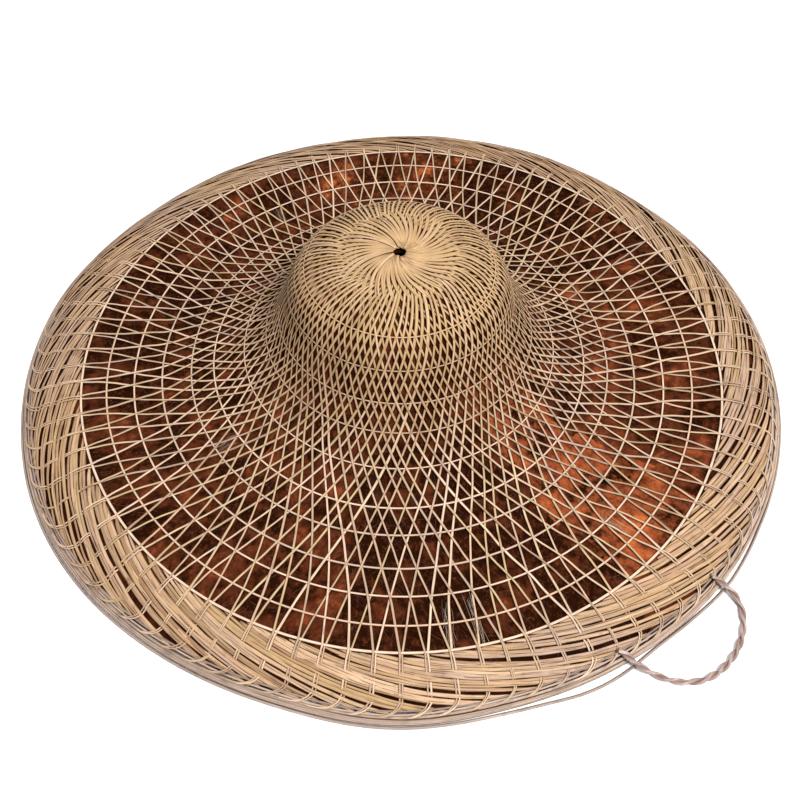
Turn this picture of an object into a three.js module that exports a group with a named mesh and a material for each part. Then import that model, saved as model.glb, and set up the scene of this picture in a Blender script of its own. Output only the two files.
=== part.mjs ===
// A wide farmer's rain hat: sheets of palm bark between split bamboo hoops, a bell-shaped crown, a woven rim and
// a cord loop. Millimetres, +Z up. The hat lies on its edge at z = 0, its front towards -Y.

import * as THREE from 'three';

// Main sizes
const BARK_THICKNESS = 1.6;
const GAP = 0.3;
const AZIMUTH_STEPS = 48;
const AZIMUTH_STEP = 360 / AZIMUTH_STEPS;
const PROFILE_FLATS = 20;
const STATION_SNAP = 1e-6;

// The bark's upper face, from the top of the crown out to the edge of the rim
const PROFILE = [
  { radius: 0, height: 149.5 },
  { radius: 45, height: 148 },
  { radius: 70, height: 140.5 },
  { radius: 86, height: 128 },
  { radius: 94.5, height: 113 },
  { radius: 101, height: 94 },
  { radius: 112, height: 70 },
  { radius: 128, height: 49.5 },
  { radius: 155, height: 30.5 },
  { radius: 190, height: 18.5 },
  { radius: 226, height: 14.4 },
  { radius: 262, height: 17.4 },
  { radius: 298, height: 21 },
  { radius: 318, height: 19.4 },
  { radius: 334, height: 14.4 },
  { radius: 344, height: 9 },
];

// How far the hat reaches past its mean circles, for each azimuth from the front towards +X
const OUTLINE = [
  { azimuth: 0, net: 0, rim: -3.8 },
  { azimuth: 15, net: 0.5, rim: -6.2 },
  { azimuth: 30, net: 1, rim: -4 },
  { azimuth: 45, net: 1.5, rim: 0.5 },
  { azimuth: 60, net: 2, rim: 4.6 },
  { azimuth: 75, net: 3.4, rim: 8.2 },
  { azimuth: 90, net: 4.5, rim: 11 },
  { azimuth: 105, net: 4.7, rim: 12 },
  { azimuth: 120, net: 4.5, rim: 10 },
  { azimuth: 135, net: 4, rim: 7 },
  { azimuth: 150, net: 3, rim: 6.3 },
  { azimuth: 165, net: 2.3, rim: 2.5 },
  { azimuth: 180, net: 1, rim: -0.8 },
  { azimuth: 195, net: -2.5, rim: -5.5 },
  { azimuth: 210, net: -5, rim: -5.3 },
  { azimuth: 225, net: -5.2, rim: -4.6 },
  { azimuth: 240, net: -4.5, rim: -0.9 },
  { azimuth: 255, net: -3.8, rim: 4 },
  { azimuth: 270, net: -3.3, rim: 3.6 },
  { azimuth: 285, net: -3.1, rim: 2.1 },
  { azimuth: 300, net: -3, rim: 1 },
  { azimuth: 315, net: -2.6, rim: -2 },
  { azimuth: 330, net: -2, rim: -5.9 },
  { azimuth: 345, net: -1, rim: -7.4 },
];
const ROUND_RADIUS = 150;
const NET_RADIUS = 298;
const RIM_RADIUS = 350;

// Crown: the woven cap round a small hole, and the bark under it
const HOLE_RADIUS = 4.5;
const CAP_RADIUS = 50;
const CAP_THICKNESS = 2;
const CROWN_FOOT_RADIUS = 128;

// Brim: bark sheets side by side, each from one azimuth to the next, out under the rim
const SHEET_EDGES = [-157.5, -120, -82.5, -45, -7.5, 37.5, 60, 120, 165, 202.5];
const SHEET_OUTER_RADIUS = 341;

// Hoops of the net, from the rim up to the shoulder of the crown
const HOOPS = [
  { radius: 297.9, width: 3, thickness: 1.8 },
  { radius: 276.1, width: 2.4, thickness: 1.2 },
  { radius: 250.9, width: 2.4, thickness: 1.2 },
  { radius: 225.3, width: 2.4, thickness: 1.2 },
  { radius: 196.6, width: 2.4, thickness: 1.2 },
  { radius: 174, width: 2.4, thickness: 1.2 },
  { radius: 143.4, width: 2.4, thickness: 1.2 },
  { radius: 120.7, width: 2.4, thickness: 1.2 },
  { radius: 106.9, width: 2.4, thickness: 1.2 },
  { radius: 95.9, width: 2.4, thickness: 1.2 },
  { radius: 80.9, width: 2.4, thickness: 1.2 },
];

// Rim: the woven band, the bundle of splints at its edge and the thin hoop round the outside
const BAND_INNER_RADIUS = 300;
const BAND_OUTER_RADIUS = 343.5;
const BAND_THICKNESS = 3;
const EDGE_INNER_RADIUS = 342;
const EDGE_HEIGHT = 7;
const EDGE_CHAMFER = 2;
const LOOSE_HOOP_DIAMETER = 2.6;
const LOOSE_HOOP_HEIGHT = 1.7;
const LOOSE_HOOP_SIDES = 5;
const STAND_OFF = [
  { azimuth: 0, gap: 0.8 },
  { azimuth: 12, gap: 1.5 },
  { azimuth: 19, gap: 3 },
  { azimuth: 25, gap: 6 },
  { azimuth: 30, gap: 5.2 },
  { azimuth: 36, gap: 1.2 },
  { azimuth: 43, gap: 1.2 },
  { azimuth: 50, gap: 3.2 },
  { azimuth: 58, gap: 1.8 },
  { azimuth: 66, gap: 0.7 },
  { azimuth: 90, gap: 0.5 },
  { azimuth: 180, gap: 0.5 },
  { azimuth: 270, gap: 0.5 },
];

// The cord loop: out of the weave of the rim, over the edge, and round on the surface
const CORD_DIAMETER = 5.5;
const CORD_SIDES = 10;
const CORD_STEPS = 42;
const CORD_ROUTE = [
  [171.5, -291.1, 17.4],
  [175.9, -293.5, 15.6],
  [180.4, -295.9, 13.2],
  [184.8, -298.2, 10.4],
  [189.2, -300.3, 7.9],
  [194, -302.4, 5.8],
  [199.6, -304.7, 3.9],
  [205.9, -307.1, 3],
  [212.6, -309.1, 2.9],
  [219.6, -310.2, 2.9],
  [226.9, -310.2, 2.9],
  [234.4, -309, 2.9],
  [241.8, -306.5, 2.9],
  [248.8, -302.6, 2.9],
  [255.4, -297.6, 2.9],
  [261.5, -291.7, 2.9],
  [267.1, -284.7, 2.9],
  [272, -276.8, 2.9],
  [275.7, -268, 2.9],
  [277.9, -259, 2.9],
  [278.4, -250.4, 3],
  [276.9, -243.1, 4],
  [273.4, -237.7, 6.2],
  [268.2, -233.9, 9.6],
  [261.8, -230.9, 13.6],
  [255, -227.9, 17.6],
];

const COLORS = {
  bamboo: 0xd9bd8b,
  paleBamboo: 0xe8d3ab,
  greyBamboo: 0xaa9c8a,
  darkBark: 0x3c1f14,
  redBark: 0x6b3018,
  orangeBark: 0xb3602a,
  cord: 0x9c8b78,
};
const SHEET_COLORS = ['redBark', 'darkBark', 'darkBark', 'darkBark', 'darkBark', 'orangeBark', 'redBark', 'darkBark',
  'redBark'];

// Smooth curve through the values of a table's rows, round the whole circle
function around(rows, column, degrees) {
  const azimuth = THREE.MathUtils.euclideanModulo(degrees, 360);
  let row = rows.length - 1;
  while (rows[row].azimuth > azimuth) row -= 1;
  const pick = (step) => rows[(row + step + rows.length) % rows.length];
  const from = pick(0);
  const to = pick(1);
  const span = THREE.MathUtils.euclideanModulo(to.azimuth - from.azimuth, 360);
  const t = (azimuth - from.azimuth) / span;
  const inSlope = (to[column] - pick(-1)[column]) / 2;
  const outSlope = (pick(2)[column] - from[column]) / 2;
  const rise = to[column] - from[column];
  return from[column] + t * (inSlope + t * (3 * rise - 2 * inSlope - outSlope + t * (inSlope + outSlope - 2 * rise)));
}

// How far a circle of this radius is pushed out at this azimuth: the crown is round, the net and the rim are not
function reach(radius, degrees) {
  const net = around(OUTLINE, 'net', degrees);
  const rim = around(OUTLINE, 'rim', degrees);
  const brim = THREE.MathUtils.smoothstep(radius, ROUND_RADIUS, NET_RADIUS);
  const past = Math.max(0, (radius - NET_RADIUS) / (RIM_RADIUS - NET_RADIUS));
  return brim * net + past * (rim - net);
}

// The profile as a row of evenly spaced stations on a smooth curve, with short flats between them
const curve = new THREE.SplineCurve(PROFILE.map((row) => new THREE.Vector2(row.radius, row.height)));
curve.arcLengthDivisions = 1200;
const stations = curve.getSpacedPoints(PROFILE_FLATS);
const flatLength = curve.getLength() / PROFILE_FLATS;

function distanceAt(radius) {
  const flat = stations.findIndex((station) => station.x > radius) - 1;
  const [from, to] = [stations[flat], stations[flat + 1]];
  return (flat + (radius - from.x) / (to.x - from.x)) * flatLength;
}

function flatNormal(flat) {
  const from = stations[THREE.MathUtils.clamp(flat, 0, PROFILE_FLATS - 1)];
  const to = stations[THREE.MathUtils.clamp(flat, 0, PROFILE_FLATS - 1) + 1];
  return new THREE.Vector2(from.y - to.y, to.x - from.x).normalize();
}

// A point on the profile, lifted square to it by so many millimetres
function onProfile(distance, lift) {
  const flat = Math.min(Math.floor(distance / flatLength + STATION_SNAP), PROFILE_FLATS - 1);
  const part = Math.max(0, distance / flatLength - flat);
  const point = stations[flat].clone().lerp(stations[flat + 1], part);
  const normal = flatNormal(flat);
  if (part > STATION_SNAP) return point.addScaledVector(normal, lift);
  const miter = normal.clone().add(flatNormal(flat - 1)).normalize();
  return point.addScaledVector(miter, lift / miter.dot(normal));
}

// The distances of a piece's two edges and of every station between them
function distancesBetween(from, to) {
  const inside = stations.map((_, i) => i * flatLength).filter((distance) => distance > from && distance < to);
  return [from, ...inside, to];
}

function place(radius, degrees, height) {
  const pushed = radius + reach(radius, degrees);
  const angle = THREE.MathUtils.degToRad(degrees);
  return new THREE.Vector3(pushed * Math.sin(angle), -pushed * Math.cos(angle), height);
}

function moveVertices(geometry, move) {
  const position = geometry.getAttribute('position');
  const vertex = new THREE.Vector3();
  for (let i = 0; i < position.count; i += 1) {
    vertex.fromBufferAttribute(position, i);
    const moved = move(vertex);
    position.setXYZ(i, moved.x, moved.y, moved.z);
  }
  geometry.computeVertexNormals();
  return geometry;
}

// A ring whose section, anticlockwise from its outer foot, goes all the way round the hat
function ring(section, extraReach = () => 0) {
  const lathe = new THREE.LatheGeometry([...section, section[0]], AZIMUTH_STEPS);
  return moveVertices(lathe, (vertex) => {
    const degrees = THREE.MathUtils.radToDeg(Math.atan2(vertex.x, vertex.z));
    const radius = Math.hypot(vertex.x, vertex.z);
    return place(radius, degrees, vertex.y)
      .add(place(1, degrees, 0).setLength(extraReach(degrees)));
  });
}

// A ring that lies along the profile between two distances, with its faces at two lifts
function profileRing(from, to, low, high) {
  const distances = distancesBetween(from, to);
  const lower = distances.map((distance) => onProfile(distance, low));
  const upper = distances.map((distance) => onProfile(distance, high));
  return ring([...lower, ...upper.reverse()]);
}

// A box bent onto the profile between two azimuths, a hair short of each so that neighbours stay apart
function profilePanel(fromAzimuth, toAzimuth, from, to, low, high) {
  const columns = Math.round((toAzimuth - fromAzimuth) / AZIMUTH_STEP);
  const distances = distancesBetween(from, to);
  const rows = distances.length - 1;
  const box = new THREE.BoxGeometry(columns, rows, 1, columns, rows, 1);
  return moveVertices(box, (vertex) => {
    const column = Math.round(vertex.x + columns / 2);
    const distance = distances[Math.round(rows / 2 - vertex.y)];
    const point = onProfile(distance, vertex.z > 0 ? high : low);
    const sideGap = THREE.MathUtils.radToDeg(GAP / 2 / point.x);
    const side = Number(column === 0) - Number(column === columns);
    return place(point.x, fromAzimuth + column * AZIMUTH_STEP + side * sideGap, point.y);
  });
}

const hat = new THREE.Group();

function addPiece(name, geometry, color, roughness = 0.8) {
  const material = new THREE.MeshStandardMaterial({ color: COLORS[color], roughness, metalness: 0 });
  const mesh = new THREE.Mesh(geometry, material);
  mesh.name = name;
  hat.add(mesh);
  return mesh;
}

function addCrown() {
  const hole = distanceAt(HOLE_RADIUS);
  const foot = distanceAt(CROWN_FOOT_RADIUS);
  const cap = profileRing(hole, distanceAt(CAP_RADIUS), GAP, GAP + CAP_THICKNESS);
  addPiece('crown_cap', cap, 'paleBamboo');
  addPiece('bark_crown', profileRing(hole, foot - GAP, -BARK_THICKNESS, 0), 'darkBark', 0.9);
}

function addBarkSheets() {
  const inner = distanceAt(CROWN_FOOT_RADIUS);
  const outer = distanceAt(SHEET_OUTER_RADIUS);
  SHEET_COLORS.forEach((color, i) => {
    const panel = profilePanel(SHEET_EDGES[i], SHEET_EDGES[i + 1], inner, outer, -BARK_THICKNESS, 0);
    addPiece(`bark_sheet_${i + 1}`, panel, color, 0.9);
  });
}

function addHoops() {
  HOOPS.forEach(({ radius, width, thickness }, i) => {
    const middle = distanceAt(radius);
    const hoop = profileRing(middle - width / 2, middle + width / 2, GAP, GAP + thickness);
    addPiece(`hoop_${i + 1}`, hoop, 'paleBamboo', 0.6);
  });
}

function addRim() {
  const inner = distanceAt(BAND_INNER_RADIUS);
  const outer = distanceAt(BAND_OUTER_RADIUS);
  addPiece('rim_band', profileRing(inner, outer, GAP, GAP + BAND_THICKNESS), 'bamboo');
  const edge = [
    new THREE.Vector2(RIM_RADIUS - EDGE_CHAMFER, 0),
    new THREE.Vector2(RIM_RADIUS, EDGE_CHAMFER),
    new THREE.Vector2(RIM_RADIUS, EDGE_HEIGHT - EDGE_CHAMFER),
    new THREE.Vector2(RIM_RADIUS - EDGE_CHAMFER, EDGE_HEIGHT),
    new THREE.Vector2(EDGE_INNER_RADIUS, EDGE_HEIGHT),
    new THREE.Vector2(EDGE_INNER_RADIUS, 0),
  ];
  addPiece('edge_hoop', ring(edge), 'greyBamboo', 0.7);
}

function addLooseHoop() {
  const half = LOOSE_HOOP_DIAMETER / 2;
  const section = [];
  for (let i = 0; i < LOOSE_HOOP_SIDES; i += 1) {
    const turn = (2 * Math.PI * i) / LOOSE_HOOP_SIDES;
    const radius = RIM_RADIUS + half + half * Math.cos(turn);
    section.push(new THREE.Vector2(radius, LOOSE_HOOP_HEIGHT + half * Math.sin(turn)));
  }
  addPiece('loose_edge_hoop', ring(section, (degrees) => around(STAND_OFF, 'gap', degrees)), 'greyBamboo', 0.7);
}

function addCord() {
  const route = new THREE.CatmullRomCurve3(CORD_ROUTE.map((point) => new THREE.Vector3(...point)));
  const section = new THREE.Shape();
  section.absarc(0, 0, CORD_DIAMETER / 2, 0, 2 * Math.PI);
  const tube = new THREE.ExtrudeGeometry(section, {
    extrudePath: route,
    steps: CORD_STEPS,
    curveSegments: CORD_SIDES / 2,
    bevelEnabled: false,
  });
  addPiece('hanging_loop', tube, 'cord', 0.9);
}

addCrown();
addBarkSheets();
addHoops();
addRim();
addLooseHoop();

// The origin lies under the middle of the hat's outline, on the surface that the edge rests on
const outline = new THREE.Box3().setFromObject(hat);
const middle = outline.getCenter(new THREE.Vector3());
hat.position.set(-middle.x, -middle.y, -outline.min.z);

addCord();

export default hat;
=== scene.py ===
"""A wide farmer's rain hat of palm bark in a net of split bamboo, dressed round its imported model. Metres."""

import math

import bpy
import numpy as np
from mathutils import Matrix, Vector


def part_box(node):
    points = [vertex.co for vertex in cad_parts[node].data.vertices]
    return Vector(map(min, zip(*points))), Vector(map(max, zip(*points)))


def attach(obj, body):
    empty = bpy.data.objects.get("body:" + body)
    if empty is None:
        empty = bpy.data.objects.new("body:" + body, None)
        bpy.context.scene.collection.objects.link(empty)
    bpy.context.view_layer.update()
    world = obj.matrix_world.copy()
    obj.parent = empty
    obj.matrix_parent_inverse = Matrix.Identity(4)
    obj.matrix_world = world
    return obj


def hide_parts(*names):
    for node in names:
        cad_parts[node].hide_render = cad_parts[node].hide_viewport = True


bl_info = {
    "name": "Woven rain hat",
    "version": (1, 0, 0),
    "blender": (4, 5, 0),
    "location": "3D View > Sidebar > Rain hat",
    "description": "Weaves a bell-crowned bamboo rain hat over its bark, part by part",
    "category": "Add Mesh",
}

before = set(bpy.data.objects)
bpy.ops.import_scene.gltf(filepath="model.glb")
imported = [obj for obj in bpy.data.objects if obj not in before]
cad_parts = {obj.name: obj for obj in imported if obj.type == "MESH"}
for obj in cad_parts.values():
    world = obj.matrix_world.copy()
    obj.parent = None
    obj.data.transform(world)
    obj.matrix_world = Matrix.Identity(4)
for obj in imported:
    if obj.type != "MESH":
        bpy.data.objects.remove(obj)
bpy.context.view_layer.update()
CAP_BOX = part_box("crown_cap")
AXIS = ((CAP_BOX[0].x + CAP_BOX[1].x) / 2, (CAP_BOX[0].y + CAP_BOX[1].y) / 2)
MM = 0.001
TURN = 360.0

# The bark's upper face in millimetres, as radius and height, from the top of the crown out to the edge
PROFILE = np.array((
    (0, 149.5), (45, 148), (70, 140.5), (86, 128), (94.5, 113), (101, 94), (112, 70), (128, 49.5),
    (155, 30.5), (190, 18.5), (226, 14.4), (262, 17.4), (298, 21), (318, 19.4), (334, 14.4), (344, 9),
))

# How far the net and the rim reach past their mean circles, every 15 degrees from the front towards +X
NET_REACH = np.array((
    0, 0.5, 1, 1.5, 2, 3.4, 4.5, 4.7, 4.5, 4, 3, 2.3,
    1, -2.5, -5, -5.2, -4.5, -3.8, -3.3, -3.1, -3, -2.6, -2, -1,
))
RIM_REACH = np.array((
    -3.8, -6.2, -4, 0.5, 4.6, 8.2, 11, 12, 10, 7, 6.3, 2.5,
    -0.8, -5.5, -5.3, -4.6, -0.9, 4, 3.6, 2.1, 1, -2, -5.9, -7.4,
))
REACH_STEP = 15
ROUND_RADIUS = 150
NET_RADIUS = 298
RIM_RADIUS = 350

# Gap between the edge and the loose hoop, as azimuth and millimetres
STAND_OFF = np.array((
    (0, 0.8), (12, 1.5), (19, 3), (25, 6), (30, 5.2), (36, 1.2), (43, 1.2), (50, 3.2), (55, 2.2), (61, 0.7),
    (90, 0.5), (180, 0.5), (270, 0.5),
))

# The cord loop's middle line in millimetres from the crown's axis, out of the weave and back into it
CORD_ROUTE = np.array((
    (171.5, -291.1, 17.4), (175.9, -293.5, 15.6), (180.4, -295.9, 13.2), (184.8, -298.2, 10.4),
    (189.2, -300.3, 7.9), (194, -302.4, 5.8), (199.6, -304.7, 3.9), (205.9, -307.1, 3),
    (212.6, -309.1, 2.9), (219.6, -310.2, 2.9), (226.9, -310.2, 2.9), (234.4, -309, 2.9),
    (241.8, -306.5, 2.9), (248.8, -302.6, 2.9), (255.4, -297.6, 2.9), (261.5, -291.7, 2.9),
    (267.1, -284.7, 2.9), (272, -276.8, 2.9), (275.7, -268, 2.9), (277.9, -259, 2.9),
    (278.4, -250.4, 3), (276.9, -243.1, 4), (273.4, -237.7, 6.2), (268.2, -233.9, 9.6),
    (261.8, -230.9, 13.6), (255, -227.9, 17.6),
))

# The hoops' radii, from the rim up to the shoulder
HOOP_RADII = (298.2, 276.1, 250.9, 225.3, 196.6, 174, 143.4, 120.7, 106.9, 95.9, 80.9)

# The hole in the crown sits a little in front of the crown's axis, and that shift fades out between two radii
EYE_FORWARD = 3.0
EYE_FADE = (8, 62)


def span(before, start, end, after, t):
    """A place between start and end, on the smooth curve that goes on to their neighbours."""
    into, out = (end - before) / 2, (after - start) / 2
    rise = end - start
    return start + t * (into + t * (3 * rise - 2 * into - out + t * (into + out - 2 * rise)))


def catmull_rom(points, steps):
    """Points of a smooth curve through the given ones, so many to each span, ends kept."""
    padded = np.vstack((points[:1], points, points[-1:]))
    corners = padded[:-3], padded[1:-2], padded[2:-1], padded[3:]
    rows = [span(*corners, i / steps) for i in range(steps)]
    curve = np.stack(rows, axis=1).reshape(-1, points.shape[1])
    return np.vstack((curve, points[-1:]))


CURVE = catmull_rom(PROFILE, 60)
ARC = np.concatenate(((0,), np.cumsum(np.hypot(*np.diff(CURVE, axis=0).T))))
SLOPE = np.gradient(CURVE, ARC, axis=0)
SLOPE /= np.hypot(*SLOPE.T)[:, None]


def distance_of(radius):
    """Distance along the profile to a radius, both in millimetres."""
    return np.interp(radius, CURVE[:, 0], ARC)


def radius_of(distance):
    return np.interp(distance, ARC, CURVE[:, 0])


HOOP_DISTANCES = tuple(distance_of(radius) for radius in HOOP_RADII)


def round_table(values, azimuth, edges=None):
    """A smooth value round the whole circle, through a table's values."""
    azimuth = np.mod(azimuth, TURN)
    count = len(values)
    if edges is None:
        edges = np.arange(count) * REACH_STEP
    row = np.searchsorted(edges, azimuth, side="right") - 1
    after = (row + 1) % count
    t = (azimuth - edges[row]) / np.mod(edges[after] - edges[row], TURN)
    return span(values[row - 1], values[row], values[after], values[(row + 2) % count], t)


def smoothstep(value, low, high):
    t = np.clip((value - low) / (high - low), 0, 1)
    return t * t * (3 - 2 * t)


def reach(radius, azimuth):
    """How far a circle of this radius is pushed out at this azimuth."""
    net, rim = round_table(NET_REACH, azimuth), round_table(RIM_REACH, azimuth)
    past = np.maximum(0, (radius - NET_RADIUS) / (RIM_RADIUS - NET_RADIUS))
    return smoothstep(radius, ROUND_RADIUS, NET_RADIUS) * net + past * (rim - net)


def at(radius, azimuth, height):
    """Points in metres from radius, azimuth and height, in millimetres and degrees."""
    pushed = radius + reach(radius, azimuth)
    angle = np.radians(azimuth)
    forward = EYE_FORWARD * (1 - smoothstep(radius, *EYE_FADE))
    x = pushed * np.sin(angle) * MM + AXIS[0]
    y = (-pushed * np.cos(angle) - forward) * MM + AXIS[1]
    return np.stack((x, y, height * MM + 0 * x), axis=-1)


def on_profile(distance, azimuth, lift):
    """Points that lie over the bark, lifted square to it, and the direction of that lift."""
    distance, azimuth, lift = np.broadcast_arrays(distance, azimuth, lift)
    along_r = np.interp(distance, ARC, SLOPE[:, 0])
    along_z = np.interp(distance, ARC, SLOPE[:, 1])
    past = np.maximum(0, distance - ARC[-1])
    radius = radius_of(distance) + past * along_r - lift * along_z
    height = np.interp(distance, ARC, CURVE[:, 1]) + past * along_z + lift * along_r
    angle = np.radians(azimuth)
    up = np.stack((-along_z * np.sin(angle), along_z * np.cos(angle), along_r), axis=-1)
    return at(radius, azimuth, height), up


def outwards(azimuth):
    """The direction straight out from the axis at each azimuth."""
    angle = np.radians(azimuth)
    return np.stack((np.sin(angle), -np.cos(angle), 0 * angle), axis=-1)


def unit(vectors):
    return vectors / np.maximum(np.linalg.norm(vectors, axis=-1, keepdims=True), 1e-12)


def wander(rng, count, along, size, wave):
    """Smooth random offsets, one row for each strand, with waves about so long."""
    total = np.zeros((count, along.shape[-1]))
    for part, share in ((1.0, 0.6), (2.3, 0.3), (4.7, 0.16)):
        phase = rng.uniform(0, 2 * math.pi, (count, 1))
        pace = rng.uniform(0.8, 1.2, (count, 1)) * part / wave
        total += share * np.sin(2 * math.pi * pace * along + phase)
    return size * total


# Shapes


def ring(sides):
    """The corners of a round section."""
    return np.array([(math.cos(a), math.sin(a)) for a in np.arange(sides) * math.tau / sides])


SPLINT_SECTION = np.array(((-1, 0), (-0.62, -0.9), (0.62, -0.9), (1, 0), (0.55, 1), (-0.55, 1)))
ROD_SECTION = ring(6)
HAIR_SECTION = ring(3)


def new_piece(name, vertices, faces, uv, tint):
    """A mesh piece from arrays, smooth, with its UV map and its strand colours."""
    mesh = bpy.data.meshes.new(name)
    mesh.from_pydata(vertices.tolist(), [], faces)
    mesh.uv_layers.new(name="along").data.foreach_set("uv", np.asarray(uv, np.float32).ravel())
    mesh.polygons.foreach_set("use_smooth", np.ones(len(mesh.polygons), bool))
    layer = mesh.attributes.new("strand", "FLOAT_COLOR", "POINT")
    layer.data.foreach_set("color", np.asarray(tint, np.float32).ravel())
    mesh.validate()
    mesh.update()
    piece = bpy.data.objects.new(name, mesh)
    bpy.context.scene.collection.objects.link(piece)
    return piece


def strips(name, paths, ups, widths, thicknesses, section, tint, closed=False):
    """One piece of many strips: each follows its own row of points, flat side towards its up direction."""
    count, rows, _ = paths.shape
    sides = len(section)
    ahead = np.roll(paths, -1, axis=1)
    tangent = unit(ahead - np.roll(paths, 1, axis=1) if closed else np.gradient(paths, axis=1))
    side = unit(np.cross(tangent, ups))
    normal = np.cross(side, tangent)
    half_width = np.broadcast_to(widths, (count, rows))[..., None, None] / 2 * MM
    half_height = np.broadcast_to(thicknesses, (count, rows))[..., None, None] / 2 * MM
    across = section[:, 0][None, None, :, None]
    over = section[:, 1][None, None, :, None]
    vertices = (paths[:, :, None] + side[:, :, None] * across * half_width
                + normal[:, :, None] * over * half_height)
    spans = rows if closed else rows - 1
    strip = np.arange(count)[:, None, None] * rows * sides
    row = np.arange(spans)[None, :, None]
    edge = np.arange(sides)[None, None, :]
    next_row, next_edge = (row + 1) % rows, (edge + 1) % sides
    corners = (strip + row * sides + edge, strip + next_row * sides + edge,
               strip + next_row * sides + next_edge, strip + row * sides + next_edge)
    quads = np.stack(corners, axis=-1).reshape(-1, 4)
    steps = np.linalg.norm(ahead - paths, axis=2)
    length = np.concatenate((np.zeros((count, 1)), np.cumsum(steps, axis=1)), axis=1)
    start, end = length[:, :spans, None], length[:, 1:spans + 1, None]
    u0, u1, v0, v1 = np.broadcast_arrays(edge / sides, (edge + 1) / sides, start, end)
    uv = np.stack((u0, v0, u0, v1, u1, v1, u1, v0), axis=-1).reshape(-1, 2)
    faces = quads.tolist()
    if not closed:
        first = np.arange(count)[:, None] * rows * sides + np.arange(sides)
        last = first[:, ::-1] + (rows - 1) * sides
        faces += first.tolist() + last.tolist()
        spare = np.stack((np.linspace(0, 1, sides), np.zeros(sides)), axis=-1)
        uv = np.vstack((uv, np.tile(spare, (2 * count, 1))))
    return new_piece(name, vertices.reshape(-1, 3), faces, uv, np.repeat(tint, rows * sides, axis=0))


def strand_tints(rng, count):
    """Each strand's own share of pale, of green and of grey, from 0 to 1."""
    return np.stack((rng.uniform(0, 1, count), rng.uniform(0, 1, count) ** 2,
                     rng.uniform(0, 1, count) ** 3, np.ones(count)), axis=-1)


def grid_piece(name, columns, rows, shape, thickness):
    """A grid primitive whose points go where shape says, made a wall of this thickness."""
    bpy.ops.object.select_all(action="DESELECT")
    bpy.ops.mesh.primitive_grid_add(x_subdivisions=columns, y_subdivisions=rows, size=2, location=(0, 0, 0))
    piece = bpy.context.object
    piece.name = piece.data.name = name
    mesh = piece.data
    flat = np.zeros(len(mesh.vertices) * 3)
    mesh.vertices.foreach_get("co", flat)
    shares = flat.reshape(-1, 3)[:, :2] / 2 + 0.5
    points, along = shape(shares[:, 0], shares[:, 1])
    mesh.vertices.foreach_set("co", points.ravel())
    corner = np.zeros(len(mesh.loops), int)
    mesh.loops.foreach_get("vertex_index", corner)
    while mesh.uv_layers:
        mesh.uv_layers.remove(mesh.uv_layers[0])
    mesh.uv_layers.new(name="along").data.foreach_set("uv", along[corner].ravel())
    mesh.polygons.foreach_set("use_smooth", np.ones(len(mesh.polygons), bool))
    mesh.update()
    wall = piece.modifiers.new("Wall", "SOLIDIFY")
    wall.thickness = thickness
    wall.offset = -1
    bpy.ops.object.modifier_apply(modifier=wall.name)
    return piece


def finish_piece(piece, slot, material, *nodes):
    """Gives a piece its finish and its place on the hat."""
    piece.data.materials.append(material)
    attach(piece, "root")
    if nodes:
        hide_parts(*nodes)


# Finishes


def paint(red, green, blue):
    """A display colour from 0 to 255 as Blender's own linear colour."""
    values = np.array((red, green, blue)) / 255
    linear = np.where(values <= 0.04045, values / 12.92, ((values + 0.055) / 1.055) ** 2.4)
    return (*linear.tolist(), 1.0)


class Value:
    """One shader socket that takes part in plain arithmetic."""

    def __init__(self, finish, socket):
        self.finish = finish
        self.socket = socket

    def math(self, operation, *values):
        return self.finish.node("ShaderNodeMath", {"operation": operation}, values)

    def absolute(self):
        return self.math("ABSOLUTE", self)

    def fraction(self):
        return self.math("FRACT", self)

    def __add__(self, other):
        return self.math("ADD", self, other)

    def __sub__(self, other):
        return self.math("SUBTRACT", self, other)

    def __rsub__(self, other):
        return self.math("SUBTRACT", other, self)

    def __mul__(self, other):
        return self.math("MULTIPLY", self, other)

    def __pow__(self, other):
        return self.math("POWER", self, other)

    __radd__ = __add__
    __rmul__ = __mul__


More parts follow.
